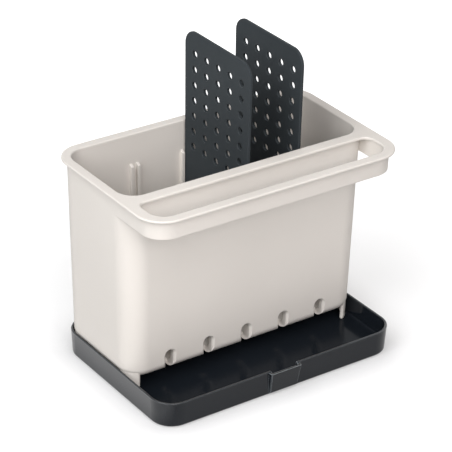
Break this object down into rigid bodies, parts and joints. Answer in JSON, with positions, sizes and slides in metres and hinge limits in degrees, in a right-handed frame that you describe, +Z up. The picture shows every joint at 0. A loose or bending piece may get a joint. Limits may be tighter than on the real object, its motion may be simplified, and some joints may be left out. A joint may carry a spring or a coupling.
{
  "type": "kitchen sink caddy",
  "caption": "Rounded drafted container with a front cloth rail, sliding perforated dividers and drain slots, standing on corner legs in a shallow drip tray with a pouring spout.",
  "frame": {"origin": "on the worktop under the middle of the whole caddy's length and depth", "axes": "+X to the right along the container's length, +Y to the back, away from the cloth rail, +Z up"},
  "size_m": [0.19, 0.1278, 0.2061],
  "materials": {
    "light_plastic": "satin warm light grey moulding",
    "tray_plastic": "semi-gloss anthracite moulding",
    "divider_plastic": "satin anthracite moulding",
    "foot_rubber": "soft matte"
  },
  "bodies": {
    "tray": {"drip_tray": "tray_plastic", "foot_front_left": "foot_rubber", "foot_front_right": "foot_rubber", "foot_back_left": "foot_rubber", "foot_back_right": "foot_rubber"},
    "container": {"container": "light_plastic"},
    "divider_left": {"divider_left": "divider_plastic"},
    "divider_right": {"divider_right": "divider_plastic"}
  },
  "joints": [
    {"name": "container_lift", "type": "slide", "parent": "tray", "child": "container", "axis": [0, 0, 1], "range_m": [0, 0.03]},
    {"name": "divider_left_slide", "type": "slide", "parent": "container", "child": "divider_left", "axis": [0, 0.0094, 1], "range_m": [-0.0761, 0.053]},
    {"name": "divider_right_slide", "type": "slide", "parent": "container", "child": "divider_right", "axis": [0, 0.0094, 1], "range_m": [-0.0761, 0.053]}
  ]
}
